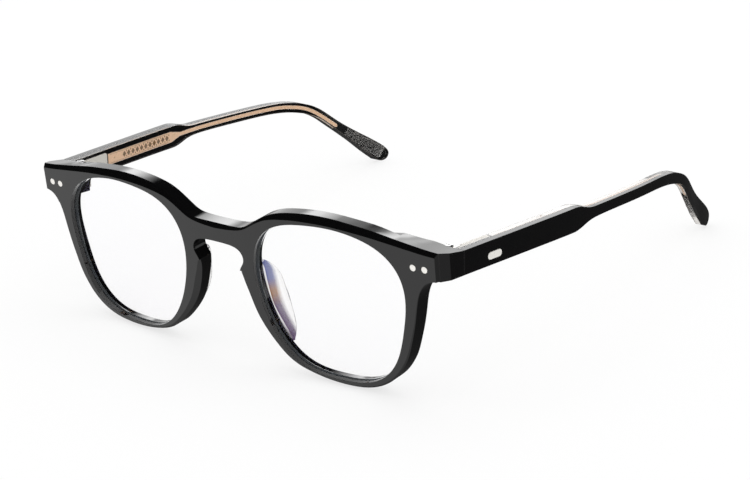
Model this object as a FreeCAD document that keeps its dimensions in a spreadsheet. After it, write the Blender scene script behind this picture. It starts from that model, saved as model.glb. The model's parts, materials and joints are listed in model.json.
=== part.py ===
import FreeCAD, Part
import os, math
from FreeCAD import Vector, Placement, Rotation

# Acetate spectacles with a keyhole bridge. Millimetres, +Z up, the front looks
# along -Y, the temples run back along +Y, +X is the wearer's left. The origin is
# the centre of the bridge on its front surface. The front is drawn upright in
# its own frame and then leans forward by the pantoscopic tilt. Left pieces are
# modelled, right pieces are their mirror images.

doc = FreeCAD.newDocument("spectacles")
sheet = doc.addObject("Spreadsheet::Sheet", "Sizes")
ROWS = [
    ("panto_deg", 6.49, "pantoscopic tilt of the front"),
    ("wing_deg", 4.30, "wrap angle of each lens plane"),
    ("bridge_radius", 360.0, "plan radius of the bridge arc"),
    ("wing_start", 27.0, "x where the arc meets the flat wing"),
    ("front_thick", 4.6, "thickness of the front"),
    ("face_corner", 65.65, "half width of the front face"),
    ("hinge_half", 67.6, "half width at the joint"),
    ("joint_y", 12.70, "y of the joint plane"),
    ("joint_gap", 0.12, "gap between endpiece and temple"),
    ("temple_top", 4.02, "z of the temple's top edge"),
    ("temple_bottom", -2.20, "z of the temple's bottom edge at the joint"),
    ("outer_thick", 1.80, "black laminate thickness"),
    ("inner_thick", 1.90, "clear laminate thickness"),
    ("tail_outer", 1.35, "black laminate thickness on the tail"),
    ("tail_inner", 1.85, "clear laminate thickness on the tail"),
    ("core_thick", 0.70, "core strip thickness"),
    ("core_height", 3.15, "core plate height"),
    ("wire_height", 1.05, "core wire height"),
    ("core_gap", 0.04, "room around the core"),
    ("lens_cx", 34.15, "lens centre x"),
    ("lens_cz", -14.20, "lens centre z"),
    ("lens_plane", 2.20, "distance of the lens groove behind the face"),
    ("groove_half", 1.00, "half width of the lens groove"),
    ("groove_deep", 0.90, "depth of the lens groove"),
    ("lens_fit", 0.06, "room between lens and groove"),
    ("lens_front_r", 180.0, "lens front surface radius"),
    ("lens_back_r", 178.0, "lens back surface radius"),
    ("lens_crown", 1.10, "lens crown above its edge"),
    ("lens_thick", 1.80, "lens centre thickness"),
    ("rivet_x_in", 59.45, "inner rivet x"),
    ("rivet_x_out", 62.65, "outer rivet x"),
    ("rivet_z", 0.27, "rivet z on the front face"),
    ("rivet_head", 0.84, "rivet head radius"),
    ("rivet_shank", 0.58, "rivet shank radius"),
    ("rivet_room", 0.02, "room around a rivet"),
    ("hinge_x", 62.30, "hinge axis x"),
    ("hinge_y", 14.00, "hinge axis y"),
    ("hinge_low", -1.92, "hinge barrel low end"),
    ("hinge_high", 3.52, "hinge barrel high end"),
    ("barrel_r", 1.35, "hinge barrel radius"),
    ("barrel_bore", 0.72, "hinge bore radius"),
    ("knuckle_gap", 0.07, "gap between neighbouring knuckles"),
    ("screw_r", 0.67, "hinge screw radius"),
    ("screw_head", 1.10, "hinge screw head radius"),
    ("screw_head_tall", 0.60, "hinge screw head height"),
    ("leaf_thick", 0.90, "temple hinge leaf thickness"),
    ("shield_y", 24.15, "shield centre y"),
    ("shield_z", 0.15, "shield centre z"),
    ("shield_long", 5.1, "shield length"),
    ("shield_tall", 1.85, "shield height"),
    ("shield_proud", 0.16, "how far the shield stands out"),
    ("shield_sunk", 0.45, "how deep the shield sits"),
]
for row, (alias, value, note) in enumerate(ROWS, 1):
    sheet.set("A%d" % row, note)
    sheet.set("B%d" % row, str(value))
    sheet.setAlias("B%d" % row, alias)
doc.recompute()
SIZE = {alias: value for alias, value, note in ROWS}

TILT = math.radians(SIZE["panto_deg"])
WRAP = math.radians(SIZE["wing_deg"])
LEAN = Placement(Vector(0, 0, 0), Rotation(Vector(1, 0, 0), SIZE["panto_deg"]))
UP = Vector(0, 0, 1)
BACKWARD = Vector(0, 1, 0)
OUTWARD = Vector(1, 0, 0)


# ------------------------------------------------------------ curves and numbers
def interp(x, table):
    """Linear interpolation in a table of (x, value)."""
    if x <= table[0][0]:
        return table[0][1]
    for (x_a, value_a), (x_b, value_b) in zip(table, table[1:]):
        if x <= x_b:
            return value_a + (value_b - value_a) * (x - x_a) / (x_b - x_a)
    return table[-1][1]


def smooth(t):
    t = min(1.0, max(0.0, t))
    return t * t * (3 - 2 * t)


def interpolated(vectors, closed=False):
    curve = Part.BSplineCurve()
    curve.interpolate(vectors, PeriodicFlag=closed)
    return curve


def flat(points):
    """Smooth sketch curve through 2D points."""
    return interpolated([Vector(a, b, 0) for a, b in points])


def line(start, end):
    return Part.LineSegment(Vector(start[0], start[1], 0), Vector(end[0], end[1], 0))


def lines(points):
    """Straight sketch lines from each 2D point to the next."""
    return [line(start, end) for start, end in zip(points, points[1:])]


def flip(points):
    """The 2D points mirrored in x = 0, in reverse order."""
    return [(-x, other) for x, other in reversed(points)]


# -------------------------------------------------------------- document objects
def prism(name, role, curves, length):
    """Body with a closed sketch on an origin plane, padded to both sides of it."""
    body = doc.addObject("PartDesign::Body", name)
    sketch = body.newObject("Sketcher::SketchObject", name + "_sketch")
    plane = [o for o in body.Origin.OriginFeatures if o.Role == role][0]
    sketch.AttachmentSupport = (plane, [""])
    sketch.MapMode = "FlatFace"
    for curve in curves:
        sketch.addGeometry(curve, False)
    doc.recompute()
    pad = body.newObject("PartDesign::Pad", name + "_pad")
    pad.Profile = sketch
    pad.Length = length
    pad.Midplane = True
    doc.recompute()
    if not body.Shape.isValid() or body.Shape.Volume <= 0:
        raise RuntimeError(name + " pad failed")
    return body


def feature(name, shape, placement=None):
    obj = doc.addObject("Part::Feature", name)
    obj.Shape = shape
    if placement is not None:
        obj.Placement = placement
    return obj


def common(name, first, second):
    obj = doc.addObject("Part::MultiCommon", name)
    obj.Shapes = [first, second]
    doc.recompute()
    return obj


def cut(name, base, tool):
    obj = doc.addObject("Part::Cut", name)
    obj.Base = base
    obj.Tool = tool
    doc.recompute()
    return obj


def fuse(name, shapes):
    obj = doc.addObject("Part::MultiFuse", name)
    obj.Shapes = shapes
    obj.Refine = True
    doc.recompute()
    return obj


def mirrored(name, source):
    obj = doc.addObject("Part::Mirroring", name)
    obj.Source = source
    obj.Normal = Vector(1, 0, 0)
    obj.Base = Vector(0, 0, 0)
    doc.recompute()
    return obj


def cut_both(name, base, tool):
    """Cuts with the tool and then with its mirror image."""
    left_cut = cut(name + "_l", base, tool)
    return cut(name, left_cut, mirrored(tool.Name + "_r", tool))


def leaned(name, source):
    """Copy of an upright object, leaned with the front."""
    return feature(name, source.Shape.copy(), LEAN.multiply(source.Placement))


# ------------------------------------------------------------ shape of the front
# Left half of the front's outline at the foot of its bevel: x, z.
BROW = [
    (0, 1.25), (3.3, 1.3), (6.2, 1.43), (8.0, 1.65), (9.3, 2.05), (11.0, 2.95),
    (13.3, 4.4), (16.0, 5.95), (18.5, 6.95), (21.5, 7.65), (25.0, 8.12), (29.0, 8.4),
    (33.0, 8.45), (37.0, 8.3), (41.0, 7.95), (45.0, 7.55), (49.0, 7.05), (53.0, 6.45),
    (57.0, 5.85), (60.0, 5.4), (63.0, 5.0), (65.7, 4.75), (70.0, 4.6)]
UNDER = [
    (65.3, -2.45), (63.8, -2.85), (62.4, -3.75), (61.15, -5.5), (60.3, -7.65),
    (59.65, -10.5), (58.95, -14.1), (58.05, -17.7), (57.0, -21.3), (55.85, -24.6),
    (54.3, -27.5), (52.3, -30.2), (49.6, -32.6), (46.6, -34.3), (43.0, -35.45),
    (39.0, -35.98), (35.0, -36.0), (30.9, -35.65), (26.4, -34.8), (22.5, -33.6),
    (19.2, -31.75), (16.2, -29.1), (13.4, -26.05), (11.3, -23.2), (9.95, -20.8),
    (9.0, -18.4), (8.2, -16.0), (7.6, -14.0), (7.15, -12.0), (6.95, -10.2)]
KEYHOLE = [
    (6.95, -10.2), (7.35, -9.25), (8.05, -8.2), (8.45, -6.95), (8.2, -5.75),
    (7.35, -4.65), (5.9, -3.95), (3.6, -3.6), (0, -3.5)]

# Bevel width along the brow: x, width.
BROW_BEVEL = [
    (0, 1.05), (3, 0.95), (6, 0.75), (8, 0.6), (9.3, 0.55), (11, 0.55), (13.3, 0.62),
    (16, 0.85), (18.5, 1.15), (21.5, 1.35), (25, 1.45), (29, 1.55), (33, 1.55),
    (37, 1.5), (41, 1.42), (45, 1.35), (49, 1.27), (53, 1.18), (57, 1.1), (60, 1.05),
    (63, 1.0), (65.7, 0.95), (70, 0.92)]
# Stations in x of the brow bevel's sections.
BROW_BEVEL_X = [
    0, 1.6, 3.3, 4.8, 6.2, 7.2, 8.0, 8.7, 9.3, 10.1, 11.0, 12.1, 13.3, 14.6, 16.0, 17.3,
    18.5, 20.0, 21.5, 23.2, 25.0, 27.0, 29.0, 31.0, 33.0, 35.0, 37.0, 39.0, 41.0, 43.0,
    45.0, 47.0, 49.0, 51.0, 53.0, 55.0, 57.0, 58.5, 60.0, 61.5, 63.0, 64.4, 65.7, 67.0,
    68.4]
# The lower bevel starts at this point of UNDER; its width at each point from there.
UNDER_BEVEL_START = 3
UNDER_BEVEL = [
    0.12, 0.12, 0.15, 0.2, 0.25, 0.3, 0.35,
    0.4, 0.45, 0.5, 0.55, 0.6,
    0.65, 0.65, 0.65, 0.65, 0.7,
    0.75, 0.85, 1.0, 1.12, 1.2,
    1.2, 1.15, 1.0, 0.8, 0.5]
UNDER_BEVEL_RATIO = 1.2   # depth of the lower bevel over its width
BEVEL_OVERRUN = 0.22      # how far a bevel cutter runs past both edges
BEVEL_CLEAR = 0.9         # cutter corner outside the outline and before the face

OUTLINE_END = [(70.0, 4.6), (70.0, -2.45), (65.3, -2.45)]
FACET_CORNER = (67.35, 7.70)   # x, y where the endpiece's corner facet ends
FRONT_BACK_X = 67.41           # half width of the front's back surface

# Endpiece block behind each upper outer corner.
BLOCK_IN_X = 44.0
BLOCK_BACK_Y = 14.5
BLOCK_INNER = [   # inner back edge in plan: x, y
    (60.8, BLOCK_BACK_Y), (59.6, 13.6), (57.2, 12.1), (54.0, 10.2), (50.5, 8.35),
    (47.5, 7.25), (BLOCK_IN_X, 6.75)]
BLOCK_FRONT_FOOT = (3.7, -2.05)   # y, z of its lower front edge, leaned frame
BLOCK_ROOF_Z = 6.6
BLOCK_CLIP_X = 41.0
BLOCK_CLIP_Z = -6.0

# Slope on top of the endpiece.
SLOPE_X = [44.0, 45.5, 47.0, 49.0, 51.0, 53.0, 55.0, 57.0, 59.0, 61.0, 63.0, 65.0, 67.0,
           69.0]
SLOPE_REF_X = 67.4    # x where the slope meets the temple's top at the joint
SLOPE_LIFT = 0.02     # cutter above the brow
SLOPE_SET_BACK = 0.9  # y behind the face where the slope begins


def face_y(x):
    """y of the upright front face: an arc over the bridge, then a flat wing."""
    x = abs(x)
    radius, start = SIZE["bridge_radius"], SIZE["wing_start"]
    if x < start:
        return radius - math.sqrt(radius ** 2 - x * x)
    return radius - math.sqrt(radius ** 2 - start ** 2) + math.tan(WRAP) * (x - start)


def to_upright(y, z):
    """y, z of the leaned frame in the front's upright frame."""
    return (y * math.cos(TILT) + z * math.sin(TILT),
            -y * math.sin(TILT) + z * math.cos(TILT))


BROW_CURVE = flat(BROW)


def brow_z(x):
    """z of the smooth brow curve near x."""
    nearest = BROW_CURVE.parameter(Vector(x, interp(x, BROW), 0))
    return BROW_CURVE.value(nearest).y


def make_front_blank():
    """The front's outline through its curved plan."""
    outline = ([flat(flip(BROW)[:-1] + BROW)] + lines(OUTLINE_END)
               + [flat(UNDER), flat(KEYHOLE + flip(KEYHOLE[:-1])), flat(flip(UNDER))]
               + lines(flip(OUTLINE_END)))
    front_outline = prism("front_outline", "XZ_Plane", outline, length=60.0)

    thick = SIZE["front_thick"]
    start_x, corner_x = SIZE["wing_start"], SIZE["face_corner"]
    start_y = face_y(start_x)
    back_x = start_x - thick * math.sin(WRAP)
    back_y = start_y + thick * math.cos(WRAP)
    end_y = back_y + math.tan(WRAP) * (FRONT_BACK_X - back_x)

    def arc(x, y, middle_y):
        return Part.Arc(Vector(-x, y, 0), Vector(0, middle_y, 0), Vector(x, y, 0))

    side = [(start_x, start_y), (corner_x, face_y(corner_x)), FACET_CORNER,
            (FRONT_BACK_X, end_y), (back_x, back_y)]
    plan = ([arc(start_x, start_y, 0.0)] + lines(side)
            + [arc(back_x, back_y, thick)] + lines(flip(side)))
    front_plan = prism("front_plan", "XY_Plane", plan, length=120.0)
    return common("front_blank", front_plan, front_outline)


def make_endpiece_block():
    """Block behind the left corner; it carries the hinge."""
    side_x = SIZE["hinge_half"]
    plan = (lines([(BLOCK_IN_X, 4.6), (65.2, 5.0), (66.15, 5.0), FACET_CORNER,
                   (side_x, 12.0), (side_x, BLOCK_BACK_Y), BLOCK_INNER[0]])
            + [flat(BLOCK_INNER), line(BLOCK_INNER[-1], (BLOCK_IN_X, 4.6))])
    block_plan = prism("block_plan", "XY_Plane", plan, length=60.0)
    front_y, foot_z = BLOCK_FRONT_FOOT
    side = [to_upright(front_y, foot_z),
            to_upright(SIZE["joint_y"], SIZE["temple_bottom"]),
            to_upright(SIZE["joint_y"], BLOCK_ROOF_Z),
            to_upright(front_y, BLOCK_ROOF_Z)]
    block_side = prism("block_side", "YZ_Plane", lines(side + side[:1]), length=160.0)
    block_raw = common("block_raw", block_plan, block_side)

    under_brow = [p for p in BROW if p[0] >= BLOCK_CLIP_X]
    clip = [flat(under_brow)] + lines([
        under_brow[-1], (under_brow[-1][0], BLOCK_CLIP_Z), (BLOCK_CLIP_X, BLOCK_CLIP_Z),
        under_brow[0]])
    block_top = prism("block_top", "XZ_Plane", clip, length=60.0)
    return common("left_block", block_raw, block_top)


def make_slope_tool():
    """Cutter that lets the endpiece's top fall smoothly from the brow to the joint."""
    joint_y, joint_z = to_upright(SIZE["joint_y"], SIZE["temple_top"])
    fall = ((brow_z(SLOPE_REF_X) + SLOPE_LIFT - joint_z)
            / (joint_y - face_y(SLOPE_REF_X) - SLOPE_SET_BACK))
    sections = []
    for x in SLOPE_X:
        start_z = brow_z(x) + SLOPE_LIFT
        start_y = face_y(x) + SLOPE_SET_BACK
        slope = -fall * smooth((x - 45.0) / 14.0)
        front_y, back_y = start_y - 3.0, joint_y + 1.5
        back_z = start_z + slope * (back_y - start_y)
        roof_z = start_z + 6
        sections.append(Part.makePolygon([
            Vector(x, front_y, start_z), Vector(x, start_y, start_z),
            Vector(x, back_y, back_z), Vector(x, back_y, roof_z),
            Vector(x, front_y, roof_z), Vector(x, front_y, start_z)]))
    return feature("slope_tool", Part.makeLoft(sections, True, False))


def bevel_loft(points, widths, ratio=1.0):
    """Bevel cutter: a triangle carried along the outline, ratio is depth over width."""
    curve = flat(points)
    sections = []
    for (x, z), width in zip(points, widths):
        tangent = curve.tangent(curve.parameter(Vector(x, z, 0)))[0]
        outward = Vector(-tangent.y, tangent.x, 0)
        outward.normalize()
        depth = width * ratio
        slant = math.hypot(width, depth)
        over_out = BEVEL_OVERRUN * width / slant
        over_back = BEVEL_OVERRUN * depth / slant

        def at(out, behind):
            at_x, at_z = x + outward.x * out, z + outward.y * out
            return Vector(at_x, face_y(at_x) + behind, at_z)

        on_face = at(-width - over_out, -over_back)
        on_side = at(over_out, depth + over_back)
        outside = at(BEVEL_CLEAR, -BEVEL_CLEAR)
        sections.append(Part.makePolygon([on_face, on_side, outside, on_face]))
    return Part.makeLoft(sections, True, False)


def make_brow_bevel():
    half = [(x, brow_z(x)) for x in BROW_BEVEL_X]
    points = flip(half)[:-1] + half
    widths = [interp(abs(x), BROW_BEVEL) for x, z in points]
    return feature("bevel_top", bevel_loft(points, widths))


def make_under_bevel():
    """Bevel of the left rim's underside, with a station halfway between points too."""
    curve = flat(UNDER)
    corners = list(zip(UNDER[UNDER_BEVEL_START:], UNDER_BEVEL))
    points, widths = [], []
    for ((x_a, z_a), width_a), ((x_b, z_b), width_b) in zip(corners, corners[1:]):
        start = curve.parameter(Vector(x_a, z_a, 0))
        end = curve.parameter(Vector(x_b, z_b, 0))
        for part in (0.0, 0.5):
            point = curve.value(start + (end - start) * part)
            points.append((point.x, point.y))
            widths.append(width_a * (1 - part) + width_b * part)
    points.append(UNDER[-1])
    widths.append(UNDER_BEVEL[-1])
    return feature("bevel_under", bevel_loft(points, widths, UNDER_BEVEL_RATIO))


# --------------------------------------------------------- lens opening and lens
# Lens outline in the lens plane as a Fourier series of its radius around the lens
# centre: the mean radius, then the cosine and sine term of each harmonic.
LENS_MEAN_R = 21.9411
LENS_HARMONICS = [
    (0.1547, 0.6828), (0.8606, -0.3287), (-0.0521, 0.9137), (-0.7695, -0.0136),
    (-0.058, 0.2208), (-0.0706, 0.0852), (-0.0249, -0.0626)]
LENS_STEPS = 48
VEE_ROOT = -0.3   # offset from the outline where the vee starts, inside the opening
VEE_HALF = SIZE["groove_half"] * 1.3333   # half width of the vee at its root
LENS_TIP_ROOM = 0.02    # extra room at the groove's bottom
LENS_SIDE_ROOM = 0.1    # vee half width lost on the lens
LENS_EDGE_FORWARD = 0.95   # lens front edge before the groove
LENS_PLACE = Placement(
    Vector(SIZE["lens_cx"], face_y(SIZE["lens_cx"]), SIZE["lens_cz"]),
    Rotation(UP, SIZE["wing_deg"]))


def lens_loop(offset, y):
    """Lens outline moved outward by the offset, as a closed wire at y."""
    points = []
    for step in range(LENS_STEPS):
        t = 2 * math.pi * step / LENS_STEPS
        r, dr = LENS_MEAN_R, 0.0
        for k, (cos_term, sin_term) in enumerate(LENS_HARMONICS, 1):
            r += cos_term * math.cos(k * t) + sin_term * math.sin(k * t)
            dr += k * (-cos_term * math.sin(k * t) + sin_term * math.cos(k * t))
        x, z = r * math.cos(t), r * math.sin(t)
        dx = dr * math.cos(t) - r * math.sin(t)
        dz = dr * math.sin(t) + r * math.cos(t)
        speed = math.hypot(dx, dz)
        points.append(Vector(x + offset * dz / speed, y, z - offset * dx / speed))
    return Part.Wire([interpolated(points, closed=True).toShape()])


def tube(offset, y_front, y_back):
    face = Part.Face(lens_loop(offset, y_front))
    return face.extrude(Vector(0, y_back - y_front, 0))


def vee(root, tip, half_width):
    """Disc with a vee edge, centred on the groove's plane."""
    middle = SIZE["lens_plane"]
    front = Part.makeLoft([lens_loop(root, middle - half_width), lens_loop(tip, middle)],
                          True, True)
    back = Part.makeLoft([lens_loop(tip, middle), lens_loop(root, middle + half_width)],
                         True, True)
    return front.fuse(back)


def make_opening():
    groove = vee(VEE_ROOT, SIZE["groove_deep"], VEE_HALF)
    shape = tube(0.0, -6.0, 16.0).fuse(groove).removeSplitter()
    return feature("opening", shape, LENS_PLACE)


def make_lens():
    """Meniscus lens whose vee edge sits in the groove."""
    fit, middle = SIZE["lens_fit"], SIZE["lens_plane"]
    plate = vee(VEE_ROOT - fit, SIZE["groove_deep"] - fit - LENS_TIP_ROOM,
                VEE_HALF - LENS_SIDE_ROOM)
    core = tube(VEE_ROOT - fit, middle - 3.0, middle + 3.0)
    front_y = middle - LENS_EDGE_FORWARD - SIZE["lens_crown"]
    front_ball = Part.makeSphere(SIZE["lens_front_r"])
    front_ball.translate(Vector(0, front_y + SIZE["lens_front_r"], 0))
    back_ball = Part.makeSphere(SIZE["lens_back_r"])
    back_ball.translate(Vector(0, front_y + SIZE["lens_thick"] + SIZE["lens_back_r"], 0))
    shape = plate.fuse(core).common(front_ball).cut(back_ball).removeSplitter()
    return leaned("left_lens", feature("left_lens_local", shape, LENS_PLACE))


# ------------------------------------------------------------------ front rivets
RIVET_HEAD_DEEP = 0.45
RIVET_SHANK_START = 0.2   # behind the face
RIVET_SHANK_LONG = 8.15   # reaches the hinge leaf
RIVET_DOME_R = 2.4


def rivet(x, room):
    """A domed rivet, or with room around it the tool for its hole."""
    head_r, shank_r = SIZE["rivet_head"] + room, SIZE["rivet_shank"] + room
    head = Part.makeCylinder(head_r, RIVET_HEAD_DEEP + room, Vector(0, 0, 0), BACKWARD)
    shank = Part.makeCylinder(shank_r, RIVET_SHANK_LONG, Vector(0, RIVET_SHANK_START, 0),
                              BACKWARD)
    if room == 0:
        rise = RIVET_DOME_R - math.sqrt(RIVET_DOME_R ** 2 - head_r ** 2)
        ball = Part.makeSphere(RIVET_DOME_R, Vector(0, RIVET_DOME_R - rise, 0))
        end = ball.common(Part.makeCylinder(head_r, 1.0, Vector(0, -0.8, 0), BACKWARD))
    else:
        end = Part.makeCylinder(head_r, 1.0, Vector(0, -0.99, 0), BACKWARD)
    shape = head.fuse(shank).fuse(end).removeSplitter()
    shape.Placement = Placement(Vector(x, face_y(x), SIZE["rivet_z"]), Rotation())
    return shape


def rivet_pair(room):
    return Part.makeCompound([rivet(SIZE[x], room) for x in ("rivet_x_in", "rivet_x_out")])


def make_front_rivets():
    return leaned("left_front_rivets", feature("left_rivets_local", rivet_pair(0)))


# ------------------------------------------------------------------------- hinge
HINGE_X, HINGE_Y = SIZE["hinge_x"], SIZE["hinge_y"]
HINGE_LOW, HINGE_HIGH = SIZE["hinge_low"], SIZE["hinge_high"]
KNUCKLES = 5
# Webs that tie the knuckles to a leaf: x and y of one corner, then of the other.
FRONT_WEB = (61.0, 12.2, 63.35, 14.0)
TEMPLE_WEB = (62.3, 13.25, 64.55, 15.55)
BARREL_ROOM = 0.12        # around the barrel in the front
HEAD_LIFT = 0.02          # screw head above the barrel
SLOT_WIDE = 0.36
SLOT_DEEP = 0.28

# Outer side of the straight front part of the temple.
TEMPLE_SPLAY = 0.0840     # x gained per y
SPLAY_DEG = math.degrees(math.atan(TEMPLE_SPLAY))
LEAF_Y = 14.4             # front end of the temple leaf
LEAF_LONG = 12.4
LEAF_TALL = 4.5
LEAF_LOW = -1.45


def temple_x(y):
    return 67.55 + TEMPLE_SPLAY * (y - 12.0)


LEAF_PLACE = Placement(
    Vector(temple_x(LEAF_Y) - SIZE["outer_thick"] - SIZE["inner_thick"], LEAF_Y, 0),
    Rotation(UP, -SPLAY_DEG))


def knuckle(index, web):
    """One knuckle, counted from the bottom, with its web."""
    pitch = (HINGE_HIGH - HINGE_LOW) / KNUCKLES
    half_gap = SIZE["knuckle_gap"] / 2.0
    bottom = HINGE_LOW + pitch * index + (half_gap if index else 0.0)
    top = HINGE_LOW + pitch * (index + 1) - (half_gap if index < KNUCKLES - 1 else 0.0)
    tall = top - bottom
    barrel = Part.makeCylinder(SIZE["barrel_r"], tall, Vector(HINGE_X, HINGE_Y, bottom), UP)
    x_a, y_a, x_b, y_b = web
    return barrel.fuse(Part.makeBox(x_b - x_a, y_b - y_a, tall, Vector(x_a, y_a, bottom)))


def make_bore():
    bore = doc.addObject("Part::Cylinder", "hinge_bore")
    bore.setExpression("Radius", "Sizes.barrel_bore")
    bore.Height = 20
    bore.Placement = Placement(Vector(HINGE_X, HINGE_Y, -10), Rotation())
    return bore


def make_front_hinge(bore):
    """Leaf behind the endpiece with three knuckles, drilled for the rivets."""
    leaf = Part.makeBox(7.1, 0.95, 5.1, Vector(56.1, 11.67, -1.76))
    leaf = leaf.makeFillet(0.5, [e for e in leaf.Edges
                                 if abs(e.tangentAt(e.FirstParameter).y) > 0.9])
    front_leaf = feature("front_leaf", leaf)
    front_knuckles = feature("front_knuckles", Part.makeCompound(
        [knuckle(index, FRONT_WEB) for index in (0, 2, 4)]))
    blank = fuse("front_hinge_blank", [front_leaf, front_knuckles])
    bored = cut("front_hinge_bored", blank, bore)
    rivet_clear = feature("rivet_clear", rivet_pair(SIZE["rivet_room"]), LEAN)
    return cut("left_front_hinge", bored, rivet_clear)


def make_hinge_recess():
    """Room in the front for the hinge leaf and barrel."""
    leaf_room = feature("hinge_recess", Part.makeBox(
        7.45, 3.0, 5.56, Vector(56.05, 11.64, -1.98)))
    barrel_room = feature("barrel_recess", Part.makeCylinder(
        SIZE["barrel_r"] + BARREL_ROOM, 7.0, Vector(HINGE_X, HINGE_Y, -2.6), UP))
    return fuse("recess_all", [leaf_room, barrel_room])


def leaf_box(room=0.0):
    """Temple leaf, or with room around it the tool for its pocket."""
    inward = 1.0 if room else 0.0   # the pocket's tool breaks the inner surface
    box = Part.makeBox(SIZE["leaf_thick"] + room + inward, LEAF_LONG + 2 * room,
                       LEAF_TALL + 2 * room, Vector(-inward, -room, LEAF_LOW - room))
    return box.makeFillet(0.8, [e for e in box.Edges
                                if abs(e.tangentAt(e.FirstParameter).x) > 0.9])


def make_temple_hinge(bore):
    """Leaf let into the clear laminate, with two knuckles."""
    temple_leaf = feature("temple_leaf", leaf_box(), LEAF_PLACE)
    temple_knuckles = feature("temple_knuckles", Part.makeCompound(
        [knuckle(index, TEMPLE_WEB) for index in (1, 3)]))
    blank = fuse("temple_hinge_blank", [temple_leaf, temple_knuckles])
    return cut("left_temple_hinge", blank, bore)


def make_hinge_screw():
    """Shank with a chamfered, slotted head on top."""
    head_z, head_tall = HINGE_HIGH + HEAD_LIFT, SIZE["screw_head_tall"]
    shank = Part.makeCylinder(SIZE["screw_r"], HINGE_HIGH - HINGE_LOW + HEAD_LIFT,
                              Vector(HINGE_X, HINGE_Y, HINGE_LOW), UP)
    head = Part.makeCylinder(SIZE["screw_head"], head_tall,
                             Vector(HINGE_X, HINGE_Y, head_z), UP)
    rim = [e for e in head.Edges
           if e.BoundBox.ZMin > HINGE_HIGH + 0.3 and e.BoundBox.ZLength < 0.01]
    head = head.makeChamfer(0.15, rim)
    slot = Part.makeBox(3.0, SLOT_WIDE, 0.5, Vector(
        HINGE_X - 1.5, HINGE_Y - SLOT_WIDE / 2, head_z + head_tall - SLOT_DEEP))
    return feature("left_hinge_screw", shank.fuse(head).cut(slot).removeSplitter())


# ------------------------------------------------------------------ front frame
def make_front_frame():
    blank = make_front_blank()
    left_block = make_endpiece_block()
    right_block = mirrored("right_block", left_block)
    front = fuse("front_body", [blank, left_block, right_block])
    front = cut_both("front_sloped", front, make_slope_tool())
    front = cut("front_bevelled_top", front, make_brow_bevel())
    front = cut_both("front_bevelled", front, make_under_bevel())
    front = cut_both("front_open", front, make_opening())
    rivet_holes = feature("rivet_holes", rivet_pair(SIZE["rivet_room"]))
    front = cut_both("front_upright", front, rivet_holes)
    front.Placement = LEAN
    return cut_both("front_frame", front, make_hinge_recess())


# ----------------------------------------------------------------------- temples
# Outer surface of the temple in plan: y, x.
TEMPLE_OUTSIDE = [
    (12.82, 67.62), (18.0, 68.05), (26.0, 68.73), (34.0, 69.4), (42.0, 70.07),
    (50.0, 70.7), (57.0, 71.12), (64.8, 71.3), (72.0, 71.33), (80.0, 71.28),
    (86.0, 71.15), (92.0, 70.92), (98.0, 70.5), (104.0, 69.93), (110.5, 69.1),
    (115.3, 68.45), (119.9, 67.68), (124.3, 66.62), (128.5, 65.4), (132.8, 64.2),
    (137.1, 63.18), (141.4, 62.3), (145.7, 61.3), (150.5, 60.1)]
# Side view of the temple from the top edge round the tip and back: y, z.
TEMPLE_UPPER = [
    (56.2, SIZE["temple_top"]), (57.5, 3.95), (59.2, 3.62), (61.3, 2.98), (63.8, 2.42),
    (68.0, 2.2), (74.0, 2.03), (80.0, 1.86), (90.0, 1.55), (95.3, 1.4), (100.4, 1.2),
    (105.5, 0.75), (110.5, -0.1), (113.5, -0.95), (116.7, -2.1), (120.0, -3.8),
    (123.5, -6.3), (127.0, -9.0), (130.5, -11.45), (134.0, -13.7), (138.0, -16.1),
    (141.6, -18.3), (144.2, -20.0)]
TEMPLE_TIP = [
    (144.2, -20.0), (146.3, -21.8), (147.2, -23.4), (146.6, -24.9), (144.7, -25.6),
    (142.4, -24.7)]
TEMPLE_LOWER = [
    (142.4, -24.7), (139.5, -22.5), (136.5, -20.05), (133.4, -17.35), (130.2, -14.75),
    (127.2, -12.35), (124.0, -9.85), (121.0, -7.55), (118.0, -5.8), (115.0, -4.55),
    (112.0, -3.7), (108.5, -2.85), (105.0, -2.25), (100.4, -1.75), (95.3, -1.47),
    (88.0, -1.24), (80.0, -0.98), (72.0, -0.75), (67.0, -0.72), (63.4, -0.95),
    (61.2, -1.4), (59.2, -1.95), (57.2, -2.33), (55.2, -2.42)]
# Depths below the outer surface, near the hinge and on the tail.
SEAM = (SIZE["outer_thick"], SIZE["tail_outer"])
INSIDE = (SIZE["outer_thick"] + SIZE["inner_thick"], SIZE["tail_outer"] + SIZE["tail_inner"])
CORE_DEPTH = (SIZE["outer_thick"] + 0.35, SIZE["tail_outer"] + 0.3)

# Centre line of the core wire: y, z.
WIRE_LINE = [
    (59.6, 0.76), (64.0, 0.74), (72.0, 0.66), (80.0, 0.46), (90.0, 0.18), (95.3, 0.0),
    (100.4, -0.22), (105.5, -0.68), (110.5, -1.62), (113.8, -2.5), (117.2, -3.95),
    (120.4, -5.85), (123.8, -8.3), (126.8, -10.6)]
PLATE_Z = 0.75
PLATE_START = 27.6
PLATE_END = 55.4


def band(shallow, deep):
    """Plan outline between two (front, tail) depths below the outer surface."""
    def offset(depths):
        front, tail = depths
        points = []
        for y, x in TEMPLE_OUTSIDE:
            blend = smooth((y - 56.0) / 12.0)
            points.append((x - (front * (1 - blend) + tail * blend), y))
        return points
    outer, inner = offset(shallow), offset(deep)
    return [flat(outer), line(outer[-1], inner[-1]), flat(inner[::-1]),
            line(inner[0], outer[0])]


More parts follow.
